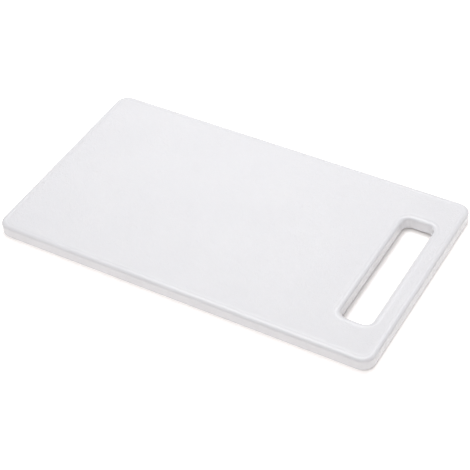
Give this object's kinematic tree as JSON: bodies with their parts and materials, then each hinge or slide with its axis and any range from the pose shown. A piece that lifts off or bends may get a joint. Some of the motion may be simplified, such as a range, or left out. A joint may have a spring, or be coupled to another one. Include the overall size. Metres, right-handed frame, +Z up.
{
  "type": "cutting board",
  "caption": "Flat rectangular white plastic cutting board with rounded corners, softened edges and a long hand slot across one end.",
  "frame": {"origin": "centre of the underside, on the surface the board rests on", "axes": "+X along the long side towards the end with the hand slot, +Y across the board, +Z up through the thickness"},
  "size_m": [0.3, 0.171, 0.0105],
  "materials": {
    "board_plastic": "white polyethylene, fine stippled cutting faces with a smooth satin margin and satin side walls"
  },
  "bodies": {
    "root": {"board": "board_plastic"}
  },
  "joints": []
}
